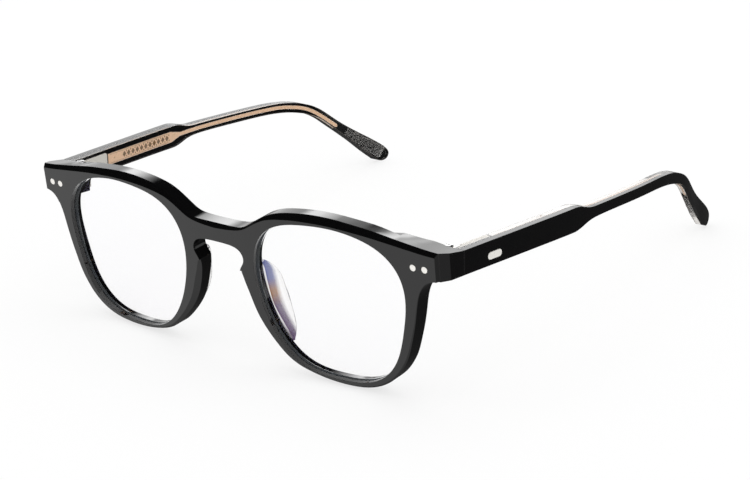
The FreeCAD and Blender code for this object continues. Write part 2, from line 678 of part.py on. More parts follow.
def make_laminate_blanks():
    outer_band = prism("outer_band", "XY_Plane", band((0, 0), SEAM), length=120.0)
    inner_band = prism("inner_band", "XY_Plane", band(SEAM, INSIDE), length=120.0)
    front_y = SIZE["joint_y"] + SIZE["joint_gap"]
    front_top = (front_y, SIZE["temple_top"])
    side = ([line(front_top, TEMPLE_UPPER[0]),
             flat(TEMPLE_UPPER), flat(TEMPLE_TIP), flat(TEMPLE_LOWER)]
            + lines([TEMPLE_LOWER[-1], (front_y, SIZE["temple_bottom"]), front_top]))
    temple_side = prism("temple_side", "YZ_Plane", side, length=180.0)
    return (common("outer_blank", outer_band, temple_side),
            common("inner_blank", inner_band, temple_side))


def core_side(room):
    """Side view of the core: a plate pointed at its rear end, then a wire."""
    plate_half = SIZE["core_height"] / 2.0 + room
    wire_half = SIZE["wire_height"] / 2.0 + room
    upper, lower = [], []
    for i, (y, z) in enumerate(WIRE_LINE):
        before = WIRE_LINE[max(0, i - 1)]
        after = WIRE_LINE[min(len(WIRE_LINE) - 1, i + 1)]
        span = math.hypot(after[0] - before[0], after[1] - before[1])
        normal_y = -(after[1] - before[1]) / span
        normal_z = (after[0] - before[0]) / span
        upper.append((y + normal_y * wire_half, z + normal_z * wire_half))
        lower.append((y - normal_y * wire_half, z - normal_z * wire_half))
    start = PLATE_START - room
    end = PLATE_END + room * 0.3
    top, bottom = PLATE_Z + plate_half, PLATE_Z - plate_half
    wire_end = ((upper[-1][0] + lower[-1][0]) / 2.0 + wire_half * 0.8,
                (upper[-1][1] + lower[-1][1]) / 2.0 - wire_half * 0.6)
    return (lines([(start, bottom), (start, top), (end, top), upper[0]])
            + [flat(upper), flat([upper[-1], wire_end, lower[-1]]), flat(lower[::-1])]
            + lines([lower[0], (end, bottom), (start, bottom)]))


def make_core(name, prefix, room):
    shallow = [depth - room for depth in CORE_DEPTH]
    deep = [depth + SIZE["core_thick"] + room for depth in CORE_DEPTH]
    core_band = prism(prefix + "_band", "XY_Plane", band(shallow, deep), length=120.0)
    profile = prism(prefix + "_profile", "YZ_Plane", core_side(room), length=180.0)
    return common(name, core_band, profile)


def make_temple_inner(blank):
    """Clear laminate with room for the core, the hinge leaf and its webs."""
    core_room = make_core("core_room", "room", SIZE["core_gap"])
    leaf_pocket = feature("leaf_pocket", leaf_box(0.03), LEAF_PLACE)
    web_pocket = feature("web_pocket", Part.makeBox(2.0, 3.4, 6.4, Vector(62.75, 12.6, -2.4)))
    cored = cut("inner_cored", blank, core_room)
    pocketed = cut("inner_pocketed", cored, leaf_pocket)
    return cut("left_temple_inner", pocketed, web_pocket)


# ------------------------------------------------------------------------ shield
PEG_Y = 1.6   # pegs before and behind the shield's centre
SHIELD_PLACE = Placement(
    Vector(temple_x(SIZE["shield_y"]), SIZE["shield_y"], SIZE["shield_z"]),
    Rotation(UP, -SPLAY_DEG))


def oval(room, x_in, x_out):
    """Plate with round ends, long in y, from x_in to x_out."""
    end, half_tall = SIZE["shield_long"] / 2.0 + room, SIZE["shield_tall"] / 2.0 + room
    straight = end - half_tall

    def at(y, z):
        return Vector(x_in, y, z)

    edges = [
        Part.LineSegment(at(-straight, half_tall), at(straight, half_tall)),
        Part.Arc(at(straight, half_tall), at(end, 0), at(straight, -half_tall)),
        Part.LineSegment(at(straight, -half_tall), at(-straight, -half_tall)),
        Part.Arc(at(-straight, -half_tall), at(-end, 0), at(-straight, half_tall))]
    wire = Part.Wire([edge.toShape() for edge in edges])
    return Part.Face(wire).extrude(Vector(x_out - x_in, 0, 0))


def add_pegs(shape, radius, length, reach):
    """Two pegs that start at the given reach inward of the shield's bed."""
    for y in (-PEG_Y, PEG_Y):
        shape = shape.fuse(Part.makeCylinder(
            radius, length, Vector(-SIZE["shield_sunk"] - reach, y, 0), OUTWARD))
    return shape.removeSplitter()


def make_temple_shield():
    """Oval plaque with a rounded face edge and two pegs."""
    proud = SIZE["shield_proud"]
    plaque = oval(0.0, -SIZE["shield_sunk"], proud)
    plaque = plaque.makeFillet(0.12, [e for e in plaque.Edges
                                      if e.BoundBox.XMin > proud - 0.01])
    plaque = add_pegs(plaque, radius=0.35, length=0.8, reach=0.7)
    return feature("left_temple_shield", plaque, SHIELD_PLACE)


def make_temple_outer(blank):
    """Black laminate with the shield's seat."""
    seat = oval(0.02, -SIZE["shield_sunk"] - 0.02, 1.0)
    seat = add_pegs(seat, radius=0.37, length=1.0, reach=0.74)
    return cut("left_temple_outer", blank, feature("shield_seat", seat, SHIELD_PLACE))


# --------------------------------------------------------------------- nose pads
# Level sections of the left pad: z, x of the front edge on the nose side and on the
# rim side, x of the rear end on the nose side and on the rim side, y of the rear end.
PAD_SECTIONS = [
    (-8.6, 9.4, 11.0, 10.0, 11.0, 6.4),
    (-10.2, 8.6, 11.9, 10.1, 11.9, 8.2),
    (-12.5, 8.6, 12.2, 11.0, 13.2, 9.3),
    (-15.5, 9.2, 12.7, 11.7, 13.9, 9.8),
    (-18.5, 9.8, 13.3, 12.3, 14.7, 10.0),
    (-21.5, 10.9, 14.6, 13.2, 15.5, 9.9),
    (-24.5, 12.9, 16.4, 14.6, 16.8, 9.2),
    (-27.0, 14.9, 17.9, 16.2, 18.0, 7.9),
    (-28.8, 16.7, 18.6, 17.4, 18.6, 6.4),
]
PAD_GAP = 0.06    # behind the front's back surface
PAD_ROUND = 0.55  # shoulders before the rear end


def make_nose_pad():
    wires = []
    for z, front_in, front_out, rear_in, rear_out, rear_y in PAD_SECTIONS:
        front_y = face_y(front_out) + SIZE["front_thick"] + PAD_GAP
        middle_y = (front_y + rear_y) / 2
        loop = [Vector(x, y, z) for x, y in (
            (front_in, front_y), (front_out, front_y),
            ((front_out + rear_out) / 2 + 0.12, middle_y),
            (rear_out, rear_y - PAD_ROUND),
            ((rear_out + rear_in) / 2.0, rear_y),
            (rear_in, rear_y - PAD_ROUND),
            ((front_in + rear_in) / 2 - 0.05, middle_y))]
        front_edge = Part.LineSegment(loop[0], loop[1]).toShape()
        wires.append(Part.Wire([front_edge, interpolated(loop[1:] + loop[:1]).toShape()]))
    shape = Part.makeLoft(wires, True, False)
    return leaned("left_nose_pad", feature("left_pad_local", shape))


# ----------------------------------------------------- finished pieces by label
front_frame = make_front_frame()
hinge_bore = make_bore()
outer_blank, inner_blank = make_laminate_blanks()
left = {
    "lens": make_lens(),
    "nose_pad": make_nose_pad(),
    "front_rivets": make_front_rivets(),
    "front_hinge": make_front_hinge(hinge_bore),
    "hinge_screw": make_hinge_screw(),
    "temple_outer": make_temple_outer(outer_blank),
    "temple_inner": make_temple_inner(inner_blank),
    "temple_core": make_core("left_temple_core", "core", 0.0),
    "temple_hinge": make_temple_hinge(hinge_bore),
    "temple_shield": make_temple_shield(),
}
doc.recompute()

pieces = {"front_frame": front_frame}
for part_name, obj in left.items():
    pieces["left_" + part_name] = obj
    pieces["right_" + part_name] = mirrored("m_" + part_name, obj)
for name, obj in pieces.items():
    obj.Label = name
doc.recompute()

bad = [o.Name for o in doc.Objects if "Invalid" in o.State or "Error" in o.State]
if bad:
    raise RuntimeError("failed objects: %s" % bad)
for name, obj in pieces.items():
    if obj.Shape.isNull() or not obj.Shape.isValid():
        raise RuntimeError(name + " has no valid shape")
os.makedirs("parts", exist_ok=True)
for name, obj in pieces.items():
    obj.Shape.exportStep("parts/%s.step" % name)
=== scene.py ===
"""Spectacles with a black acetate front, clear lenses and laminated temples.

The front faces -Y and the temples run back along +Y. The wearer's left is +X, and up is +Z.
Temple shapes are worked out in millimetres; everything else is in metres.
"""

import json
import math
import bpy
import bmesh
from mathutils import Matrix, Vector


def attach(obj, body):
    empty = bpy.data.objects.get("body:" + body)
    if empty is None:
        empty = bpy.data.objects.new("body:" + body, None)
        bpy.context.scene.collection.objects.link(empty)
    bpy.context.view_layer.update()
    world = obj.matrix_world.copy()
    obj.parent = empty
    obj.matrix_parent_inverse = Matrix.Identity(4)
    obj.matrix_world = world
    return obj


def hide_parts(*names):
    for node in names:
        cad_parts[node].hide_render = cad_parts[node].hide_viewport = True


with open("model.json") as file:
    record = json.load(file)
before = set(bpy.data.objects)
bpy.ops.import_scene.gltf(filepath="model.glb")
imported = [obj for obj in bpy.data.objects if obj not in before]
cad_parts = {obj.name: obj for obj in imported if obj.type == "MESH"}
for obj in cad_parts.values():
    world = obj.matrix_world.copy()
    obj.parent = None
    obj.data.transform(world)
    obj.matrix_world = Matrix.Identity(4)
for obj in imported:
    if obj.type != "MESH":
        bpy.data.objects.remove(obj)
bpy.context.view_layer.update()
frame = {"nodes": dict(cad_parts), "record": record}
NODES = frame["nodes"]
scene = bpy.context.scene

MM = 0.001
SIDES = (("left", 1.0), ("right", -1.0))    # name, sign of x
VIEW_AZIMUTH = math.radians(38.0)           # the camera's heading, turned from +Y towards -X


# ------------------------------------------------------------------ node trees
class Shader:
    """Builds the node tree of a material or world.

    Inputs are passed by name with underscores for spaces, as a value or a socket to link.
    """

    def __init__(self, owner, output="ShaderNodeOutputMaterial"):
        self.owner = owner
        owner.use_nodes = True
        self.nodes = owner.node_tree.nodes
        self.links = owner.node_tree.links
        self.nodes.clear()
        self.output = self.node(output)
        self.coords = None

    def feed(self, socket, value):
        if value is None:
            return
        if isinstance(value, bpy.types.NodeSocket):
            self.links.new(value, socket)
        elif socket.type == "RGBA":
            socket.default_value = (*value, 1.0)
        else:
            socket.default_value = value

    def node(self, kind, **inputs):
        node = self.nodes.new(kind)
        for name, value in inputs.items():
            self.feed(node.inputs[name.replace("_", " ")], value)
        return node

    def first(self, kind, **inputs):
        """The first output of a new node."""
        return self.node(kind, **inputs).outputs[0]

    def noise(self, scale, detail=3.0, rough=0.5, stretch=None):
        if self.coords is None:
            self.coords = self.node("ShaderNodeTexCoord")
        vector = self.coords.outputs["Object"]
        if stretch:
            vector = self.first("ShaderNodeMapping", Scale=stretch, Vector=vector)
        return self.node("ShaderNodeTexNoise", Scale=scale, Detail=detail, Roughness=rough,
                         Vector=vector).outputs["Fac"]

    def ramp(self, value, span, to=(0.0, 1.0), smooth=False):
        """Map the range span of a value onto the range to."""
        node = self.node("ShaderNodeMapRange", Value=value, From_Min=span[0], From_Max=span[1],
                         To_Min=to[0], To_Max=to[1])
        if smooth:
            node.interpolation_type = "SMOOTHSTEP"
        return node.outputs["Result"]

    def mix_color(self, factor, first, second):
        node = self.node("ShaderNodeMix")
        node.data_type = "RGBA"
        for index, value in ((0, factor), (6, first), (7, second)):
            self.feed(node.inputs[index], value)
        return node.outputs[2]

    def mix_shader(self, factor, first, second):
        node = self.node("ShaderNodeMixShader")
        for index, value in enumerate((factor, first, second)):
            self.feed(node.inputs[index], value)
        return node.outputs[0]

    def math(self, operation, first, second=None, clamp=False):
        node = self.node("ShaderNodeMath")
        node.operation = operation
        node.use_clamp = clamp
        self.feed(node.inputs[0], first)
        self.feed(node.inputs[1], second)
        return node.outputs[0]

    def add(self, first, second):
        return self.math("ADD", first, second)

    def subtract(self, first, second):
        return self.math("SUBTRACT", first, second)

    def multiply(self, first, second, clamp=False):
        return self.math("MULTIPLY", first, second, clamp)

    def split(self, vector):
        """The x, y and z of a vector."""
        return tuple(self.node("ShaderNodeSeparateXYZ", Vector=vector).outputs)

    def bump(self, height, strength, distance, normal=None):
        return self.first("ShaderNodeBump", Strength=strength, Distance=distance,
                          Height=height, Normal=normal)

    def bevel(self, radius, samples=4):
        node = self.node("ShaderNodeBevel", Radius=radius)
        node.samples = samples
        return node.outputs[0]

    def edge(self, radius, gain):
        """1 on edges that the radius reaches, 0 on open faces."""
        dot = self.node("ShaderNodeVectorMath")
        dot.operation = "DOT_PRODUCT"
        geometry = self.node("ShaderNodeNewGeometry")
        self.feed(dot.inputs[0], self.bevel(radius))
        self.feed(dot.inputs[1], geometry.outputs["Normal"])
        return self.multiply(self.subtract(1.0, dot.outputs["Value"]), gain, clamp=True)

    def mirror_ray(self):
        """1 for rays that come off a glossy reflection."""
        rays = self.node("ShaderNodeLightPath").outputs
        return self.multiply(rays["Is Glossy Ray"], rays["Is Reflection Ray"])

    def pass_light(self, shader, tint):
        """Clear plastic passes light on, so its shadow stays pale."""
        rays = self.node("ShaderNodeLightPath").outputs
        passing = self.math("MAXIMUM", rays["Is Shadow Ray"], rays["Is Diffuse Ray"])
        return self.mix_shader(passing, shader,
                               self.first("ShaderNodeBsdfTransparent", Color=tint))

    def finish(self, shader):
        self.feed(self.output.inputs["Surface"], shader)
        return self.owner


def new_material(name):
    return Shader(bpy.data.materials.new(name))


def scaled(color, factor):
    return tuple(channel * factor for channel in color)


# ------------------------------------------------------------------- materials
def black_acetate(name, rough, edge_radius, bonded=False):
    """Polished black plastic; a bonded one loses its shine when seen through the clear."""
    s = new_material(name)
    wave = s.noise(scale=95.0, detail=2.0, rough=0.4)
    fine = s.noise(scale=2600.0, detail=3.0, rough=0.6)
    haze = s.noise(scale=420.0, detail=4.0, rough=0.65)
    patches = s.ramp(s.noise(scale=900.0, detail=4.0, rough=0.7), span=(0.45, 0.7), to=(0.15, 1.0))
    wear = s.multiply(s.edge(radius=0.00022, gain=2.2), patches)
    wear_tint, wear_rough = 0.25, 0.10      # how far wear pales and dulls the edges
    color = s.mix_color(haze, (0.0014, 0.0014, 0.0016), (0.0030, 0.0029, 0.0030))
    color = s.mix_color(s.multiply(wear, wear_tint), color, (0.030, 0.029, 0.028))
    polish = s.ramp(haze, span=(0.3, 0.75), to=(rough * 0.7, rough * 1.5))
    specular = None
    if bonded:
        outside = s.subtract(
            1.0, s.node("ShaderNodeLightPath").outputs["Is Transmission Ray"])
        specular = s.multiply(outside, 0.5)     # 0.5 is the full specular level
    normal = s.bump(wave, strength=0.10, distance=0.00030,
                    normal=s.bevel(edge_radius, samples=6))
    normal = s.bump(fine, strength=0.05, distance=0.000004, normal=normal)
    return s.finish(s.first(
        "ShaderNodeBsdfPrincipled", Base_Color=color,
        Roughness=s.add(polish, s.multiply(wear, wear_rough)),
        IOR=1.49, Specular_IOR_Level=specular, Normal=normal))


def painted_coating_reflection(s, body):
    """Where the pad meets the rim it carries a painted warm to violet reflection, like the colours
    of a coated lens.
    """
    back_y_share, back_z_share = 0.9936, 0.1130     # unit direction out of the front's back
    flank_limit = 0.1                               # least outward lean of a flank
    painted_reflection_amount = 0.85
    geometry = s.node("ShaderNodeNewGeometry").outputs
    x, y, z = s.split(geometry["Position"])
    depth = s.add(s.multiply(y, back_y_share), s.multiply(z, back_z_share))
    # only the flank that looks into the lens opening
    outward = s.multiply(s.split(geometry["True Normal"])[0], s.math("SIGN", x))
    flank = s.math("GREATER_THAN", outward, flank_limit)
    painted_reflection_mask = s.multiply(s.ramp(depth, span=(0.0066, 0.0078), to=(1.0, 0.0)), flank)
    # painted reflection colours of the lens coating
    brown, blue, violet = (0.34, 0.17, 0.085), (0.14, 0.16, 0.36), (0.13, 0.085, 0.16)
    hue = s.mix_color(s.ramp(z, span=(-0.0155, -0.0125)), brown, blue)
    hue = s.mix_color(s.ramp(z, span=(-0.0195, -0.0165), to=(1.0, 0.0)), hue, violet)
    # the painted reflection is a flat diffuse colour laid over the plastic
    return s.mix_shader(s.multiply(painted_reflection_mask, painted_reflection_amount), body,
                        s.first("ShaderNodeBsdfDiffuse", Color=hue))


def crystal(name, tint, painted_edge_amount, ior=1.48, painted_edge_color=(0.36, 0.30, 0.26), paint_coating_reflection=False):
    """Clear plastic whose edges draw a thin warm line: a painted edge shade that stands in for the
    light bent at clear edges.
    """
    s = new_material(name)
    haze = s.noise(scale=260.0, detail=3.0, rough=0.6)
    hazy_tint = (tint[0] * 0.985, tint[1] * 0.98, tint[2] * 0.975)
    normal = s.bump(s.noise(scale=120.0, detail=2.0, rough=0.4), strength=0.12, distance=0.0003,
                    normal=s.bevel(radius=0.00016))
    plastic = s.first(
        "ShaderNodeBsdfPrincipled", Base_Color=s.mix_color(haze, tint, hazy_tint),
        Roughness=s.ramp(haze, span=(0.3, 0.8), to=(0.01, 0.04)),
        Transmission_Weight=1.0, IOR=ior, Normal=normal)
    # painted edge shade: a diffuse line colour mixed in where the bevel reaches
    body = s.mix_shader(s.multiply(s.edge(radius=0.00014, gain=3.0), painted_edge_amount), plastic,
                        s.first("ShaderNodeBsdfDiffuse", Color=painted_edge_color))
    # painted reflection of the coated lens on the pad
    if paint_coating_reflection:
        body = painted_coating_reflection(s, body)
    return s.finish(s.pass_light(body, tint=(0.93, 0.93, 0.92)))


def lens_material(name):
    """Coated lens with a frosted ground edge."""
    reflection = 0.16                               # share of the full Fresnel reflection
    axis_y_share, axis_z_share = 0.991, 0.1127      # direction of the lens axis
    face_limit = 0.93       # both faces of the lens stay within 20 degrees of its axis
    frost = 0.14
    s = new_material(name)
    normal = s.bump(s.noise(scale=14.0, detail=1.0, rough=0.3), strength=0.03, distance=0.0004)
    refraction = s.first("ShaderNodeBsdfRefraction", IOR=1.5, Roughness=0.0,
                         Color=(0.999, 0.999, 0.998), Normal=normal)
    band = s.mix_color(s.ramp(s.noise(scale=22.0, detail=1.0, rough=0.3), span=(0.3, 0.7)),
                       (0.45, 0.62, 1.0), (0.62, 0.45, 1.0))
    facing = s.node("ShaderNodeLayerWeight", Blend=0.5).outputs["Facing"]
    hue = s.mix_color(s.ramp(facing, span=(0.35, 0.9)), band, (1.0, 0.92, 0.85))
    gloss = s.first("ShaderNodeBsdfGlossy", Roughness=0.01, Color=hue, Normal=normal)
    fresnel = s.first("ShaderNodeFresnel", IOR=1.5, Normal=normal)
    clear = s.mix_shader(s.multiply(fresnel, reflection), refraction, gloss)

    _, y, z = s.split(s.node("ShaderNodeNewGeometry").outputs["True Normal"])
    along = s.add(s.multiply(y, axis_y_share), s.multiply(z, axis_z_share))
    ground = s.math("LESS_THAN", s.math("ABSOLUTE", along), face_limit)
    frost_color = s.mix_color(s.noise(scale=160.0, detail=3.0, rough=0.6),
                              (0.30, 0.36, 0.46), (0.46, 0.46, 0.42))
    frosted = s.mix_shader(frost, s.first("ShaderNodeBsdfTransparent"),
                           s.first("ShaderNodeBsdfDiffuse", Color=frost_color))
    body = s.mix_shader(ground, clear, frosted)
    return s.finish(s.pass_light(body, tint=(0.97, 0.975, 0.975)))


def bright_metal(name, color, rough, dark):
    """Bare metal with mottled color and paler edges."""
    s = new_material(name)
    haze = s.noise(scale=700.0, detail=4.0, rough=0.6)
    mottled = s.mix_color(s.ramp(haze, span=(0.35, 0.7)), scaled(color, dark), color)
    wear = s.multiply(s.edge(radius=0.00012, gain=2.5), 0.5)    # paler by half at the edges
    worn = tuple(min(1.0, channel) for channel in scaled(color, 1.15))
    grain = s.noise(scale=1800.0, detail=3.0, rough=0.6, stretch=(1, 1, 1))
    return s.finish(s.first(
        "ShaderNodeBsdfPrincipled", Base_Color=s.mix_color(wear, mottled, worn), Metallic=1.0,
        Roughness=s.ramp(haze, span=(0.3, 0.8), to=(rough * 0.8, rough * 1.3)),
        Normal=s.bump(grain, strength=0.25, distance=0.000012, normal=s.bevel(radius=0.00008))))


def satin_metal(name, color, metallic):
    """Soft plated metal with a fine grain."""
    s = new_material(name)
    haze = s.noise(scale=900.0, detail=4.0, rough=0.6)
    grain = s.noise(scale=2400.0, detail=3.0, rough=0.6, stretch=(1, 0.2, 1))
    return s.finish(s.first(
        "ShaderNodeBsdfPrincipled", Base_Color=s.mix_color(haze, scaled(color, 0.86), color),
        Metallic=metallic, IOR=1.8, Roughness=s.ramp(haze, span=(0.3, 0.8), to=(0.26, 0.40)),
        Normal=s.bump(grain, strength=0.2, distance=0.000010, normal=s.bevel(radius=0.0001))))


def relief_metal(name):
    """Dark bronze of the raised pattern on the core plate."""
    s = new_material(name)
    color = s.mix_color(s.noise(scale=1500.0, detail=3.0, rough=0.6),
                        (0.05, 0.026, 0.010), (0.30, 0.16, 0.05))
    return s.finish(s.first(
        "ShaderNodeBsdfPrincipled", Base_Color=color, Metallic=0.3, Roughness=0.42,
        Normal=s.bump(s.noise(scale=2500.0), strength=0.2, distance=0.00001,
                      normal=s.bevel(radius=0.00006))))


MATERIALS = {
    "front_acetate": black_acetate("front_acetate_mat", rough=0.055, edge_radius=0.10 * MM),
    "temple_black": black_acetate("temple_black_mat", rough=0.06, edge_radius=0.14 * MM,
                                  bonded=True),
    "temple_clear": crystal("temple_clear_mat", tint=(0.90, 0.88, 0.855), painted_edge_amount=0.75),
    "pad_clear": crystal("pad_clear_mat", tint=(0.99, 0.985, 0.98), painted_edge_amount=0.8, ior=1.2,
                         painted_edge_color=(0.30, 0.15, 0.08), paint_coating_reflection=True),
    "lens": lens_material("lens_mat"),
    "core_metal": satin_metal("core_metal_mat", color=(0.92, 0.60, 0.38), metallic=0.25),
    "hinge_metal": satin_metal("hinge_metal_mat", color=(0.86, 0.83, 0.76), metallic=0.30),
    "screw_metal": bright_metal("screw_metal_mat", color=(0.68, 0.68, 0.68), rough=0.22,
                                dark=0.8),
    "trim_metal": satin_metal("trim_metal_mat", color=(0.95, 0.93, 0.88), metallic=0.08),
}
slot_of = {part["node"]: part["material_slot"] for part in frame["record"]["subparts"]}
for node_name, part in NODES.items():
    part.data.materials.clear()
    part.data.materials.append(MATERIALS[slot_of[node_name]])
GRIP_MATERIAL = crystal("grip_mat", tint=(0.985, 0.985, 0.98), painted_edge_amount=0.0)
RELIEF_MATERIAL = relief_metal("core_relief_mat")

# --------------------------------------------------------------- temple surfaces
# Plan of the temple's outer face: (y, distance from the middle plane), mm
OUTER_FACE = [
    (12.82, 67.62), (18.0, 68.05), (26.0, 68.73), (34.0, 69.4), (42.0, 70.07), (50.0, 70.7),
    (57.0, 71.12), (64.8, 71.3), (72.0, 71.33), (80.0, 71.28), (86.0, 71.15), (92.0, 70.92),
    (98.0, 70.5), (104.0, 69.93), (110.5, 69.1), (115.3, 68.45), (119.9, 67.68),
    (124.3, 66.62), (128.5, 65.4), (132.8, 64.2), (137.1, 63.18), (141.4, 62.3),
    (145.7, 61.3), (150.5, 60.1)]

# Depths inside the outer face: (near the front, near the tail), mm
BOND_DEPTH = (1.80, 1.35)       # where the clear laminate meets the black one
CORE_DEPTH = (2.85, 2.35)       # inner face of the core plate
INNER_DEPTH = (3.70, 3.20)      # inner face of the temple
BLEND_START, BLEND_LENGTH = 56.0, 12.0      # y run over which front depths become tail ones


def interpolate(position, stations):
    if position <= stations[0][0]:
        return stations[0][1]
    for (start, start_value), (end, end_value) in zip(stations, stations[1:]):
        if position <= end:
            return start_value + (end_value - start_value) * (position - start) / (end - start)
    return stations[-1][1]


def surface_x(y, depth):
    """Distance from the middle plane of the surface at a (front, tail) depth."""
    blend = min(1.0, max(0.0, (y - BLEND_START) / BLEND_LENGTH))
    blend = blend * blend * (3 - 2 * blend)
    return interpolate(y, OUTER_FACE) - (depth[0] * (1 - blend) + depth[1] * blend)


# ------------------------------------------------------------- reshaped CAD pieces
def link_object(name, data):
    created = bpy.data.objects.new(name, data)
    scene.collection.objects.link(created)
    return created


def replace_look(node_name, name, mesh, body):
    look = link_object(name, mesh)
    look.matrix_world = NODES[node_name].matrix_world.copy()
    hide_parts(node_name)
    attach(look, body)


def clear_laminate(side, sign):
    """The clear laminate reaches a hair into the black one it is bonded to, so that
    light inside it meets the black sheet and not a second coincident skin."""
    tolerance, overlap = 0.09, 0.03     # mm
    node_name = side + "_temple_inner"
    source = NODES[node_name]
    mesh = source.data.copy()
    to_world = source.matrix_world.copy()
    to_local = to_world.inverted()
    for vertex in mesh.vertices:
        point = to_world @ vertex.co
        if abs(abs(point.x) / MM - surface_x(point.y / MM, BOND_DEPTH)) < tolerance:
            point.x += sign * overlap * MM
            vertex.co = to_local @ point
    replace_look(node_name, side + "_clear_laminate", mesh, side + "_temple")


def polished_front():
    """The front keeps crisp milled facets: sharp ridges, smooth curved runs."""
    ridge_angle = math.radians(13.0)
    merge_distance = 0.0000005
    mesh = NODES["front_frame"].data.copy()
    if "custom_normal" in mesh.attributes:
        mesh.attributes.remove(mesh.attributes["custom_normal"])
    bm = bmesh.new()
    bm.from_mesh(mesh)
    bmesh.ops.remove_doubles(bm, verts=bm.verts, dist=merge_distance)
    for face in bm.faces:
        face.smooth = True
    for edge in bm.edges:
        edge.smooth = not (len(edge.link_faces) == 2 and edge.calc_face_angle(0.0) > ridge_angle)
    bm.to_mesh(mesh)
    bm.free()
    replace_look("front_frame", "front_polished", mesh, "front")


for side, sign in SIDES:
    clear_laminate(side, sign)
polished_front()


# ------------------------------------------------------------- raised temple patterns
class Relief:
    """Tapered blocks that rise inwards from a temple surface, in mm."""

    def __init__(self, sign, depth, foot_lift, top_lift):
        self.sign = sign
        self.depth = depth
        self.lifts = (foot_lift, top_lift)
        self.verts = []
        self.faces = []

    def block(self, foot, top, top_lift=None):
        """Join two outlines of (y, z) points, one at the foot and one at the raised face."""
        base, count = len(self.verts), len(foot)
        foot_lift, usual_lift = self.lifts
        for outline, lift in ((foot, foot_lift), (top, top_lift or usual_lift)):
            for y, z in outline:
                self.verts.append((self.sign * (surface_x(y, self.depth) - lift), y, z))
        self.faces.append(list(range(base, base + count))[::-1])
        self.faces.append(list(range(base + count, base + 2 * count)))
        for i in range(count):
            j = (i + 1) % count
            self.faces.append([base + i, base + j, base + count + j, base + count + i])

    def diamond(self, y, z, half_length, half_width, taper, axis=(1.0, 0.0)):
        """A diamond whose length follows axis (y, z); taper scales its raised face."""
        foot, top = (
            [(y + axis[0] * u - axis[1] * w, z + axis[1] * u + axis[0] * w)
             for u, w in ((-length, 0), (0, -width), (length, 0), (0, width))]
            for length, width in ((half_length, half_width),
                                  (half_length * taper, half_width * taper)))
        self.block(foot, top)

    def build(self, name, material, body):
        mesh = bpy.data.meshes.new(name)
        mesh.from_pydata([scaled(vert, MM) for vert in self.verts], [], self.faces)
        mesh.validate()
        bm = bmesh.new()
        bm.from_mesh(mesh)
        bmesh.ops.recalc_face_normals(bm, faces=bm.faces)
        bm.to_mesh(mesh)
        bm.free()
        mesh.shade_flat()
        mesh.materials.append(material)
        created = link_object(name, mesh)
        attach(created, body)


def core_relief(side, sign):
    """A row of diamonds with small studs between them and two rails, on the core plate."""
    middle_z = 0.75
    row_start, row_end, pitch = 34.6, 53.6, 1.90
    stud_offset, stud_half = 0.80, 0.34
    rail_start, rail_step, rail_steps = 28.4, 2.15, 12
    rail_offset, rail_foot_half, rail_top_half, rail_lift = 1.28, 0.06, 0.04, 0.025
    relief = Relief(sign, CORE_DEPTH, foot_lift=-0.02, top_lift=0.03)
    y = row_start
    while y < row_end:
        relief.diamond(y, middle_z, half_length=0.84, half_width=0.98, taper=0.82)
        for offset in (-stud_offset, stud_offset):
            relief.diamond(y + pitch / 2, middle_z + offset, stud_half, stud_half, taper=0.6)
        y += pitch
    for offset in (-rail_offset, rail_offset):
        z = middle_z + offset
        for k in range(rail_steps):
            start = rail_start + k * rail_step
            end = rail_start + (k + 1) * rail_step
            foot, top = ([(start, z - half), (end, z - half), (end, z + half), (start, z + half)]
                         for half in (rail_foot_half, rail_top_half))
            relief.block(foot, top, rail_lift)
    relief.build(side + "_core_relief", RELIEF_MATERIAL, side + "_temple")


# The grip patch by station along y, mm
GRIP_CENTRE_Z = [(130.0, -12.9), (134.0, -15.75), (138.0, -18.6), (141.5, -21.0), (145.0, -23.1)]
GRIP_HALF_WIDTH = [(130.0, 1.15), (134.0, 1.5), (138.0, 1.95), (141.5, 2.25), (145.0, 2.0)]


def temple_grip(side, sign):
    """Staggered diamonds on the inner face of the temple end."""
    start_y, run_y, run_z = 130.0, 15.0, -10.1
    first_row = 0.3                     # distance of the first row from the start
    length_pitch, width_pitch = 0.98, 0.92
    half_share, taper = 0.46, 0.35      # half diamond over pitch, raised face over foot
    run = math.hypot(run_y, run_z)
    axis_y, axis_z = run_y / run, run_z / run
    relief = Relief(sign, INNER_DEPTH, foot_lift=-0.03, top_lift=0.10)
    for row in range(int(run / (length_pitch / 2.0))):
        row_y = start_y + axis_y * (first_row + row * length_pitch / 2.0)
        row_z = interpolate(row_y, GRIP_CENTRE_Z)
        half_width = interpolate(row_y, GRIP_HALF_WIDTH)
        stagger = 0.5 * width_pitch if row % 2 else 0.0
        reach = int(half_width / width_pitch) + 1
        for column in range(-reach, reach + 1):
            shift = column * width_pitch + stagger
            if abs(shift) <= half_width:
                relief.diamond(row_y - axis_z * shift, row_z + axis_y * shift,
                               length_pitch * half_share, width_pitch * half_share,
                               taper, axis=(axis_y, axis_z))
    relief.build(side + "_grip", GRIP_MATERIAL, side + "_temple")


for side, sign in SIDES:
    core_relief(side, sign)
    temple_grip(side, sign)


# ------------------------------------------------------------------------ stage
def add_camera():
    elevation, roll = math.radians(18.37), math.radians(-0.77)
    place = (0.31079, -0.33242, 0.14696)
    forward = Vector((-math.sin(VIEW_AZIMUTH) * math.cos(elevation),
                      math.cos(VIEW_AZIMUTH) * math.cos(elevation), -math.sin(elevation)))
    level_right = Vector((math.cos(VIEW_AZIMUTH), math.sin(VIEW_AZIMUTH), 0.0))
    level_up = level_right.cross(forward)
    right = level_right * math.cos(roll) + level_up * math.sin(roll)
    up = level_up * math.cos(roll) - level_right * math.sin(roll)
    camera = link_object("camera", bpy.data.cameras.new("camera"))
    rows = [(right[i], up[i], -forward[i], place[i]) for i in range(3)]
    camera.matrix_world = Matrix((*rows, (0, 0, 0, 1)))
    camera.data.sensor_width = 36.0
    camera.data.sensor_fit = "HORIZONTAL"
    camera.data.lens = 91.07952
    camera.data.clip_start = 0.01
    camera.data.clip_end = 20.0
    scene.camera = camera


